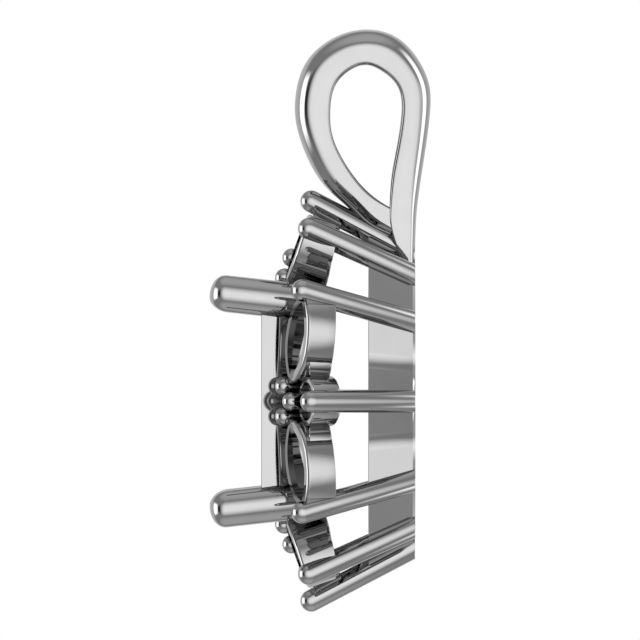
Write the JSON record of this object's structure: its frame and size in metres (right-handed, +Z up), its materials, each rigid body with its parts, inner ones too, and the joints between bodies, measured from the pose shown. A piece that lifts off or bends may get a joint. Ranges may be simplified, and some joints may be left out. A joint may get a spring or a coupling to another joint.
{
  "type": "pendant setting",
  "caption": "Cluster pendant setting without stones: square open head, pointed oval side seats, lattice of round prongs on a faceted back rail, and a teardrop bail.",
  "frame": {"origin": "the point inside the top of the bail that rests on a chain", "axes": "+Z up along the hanging pendant, -Y the front that faces the onlooker, +X the pendant's left-hand side as worn"},
  "size_m": [0.014, 0.0073, 0.0194],
  "materials": {
    "white_metal": "high mirror polish, white gold with rhodium"
  },
  "bodies": {
    "root": {"pendant_setting": "white_metal"}
  },
  "joints": []
}
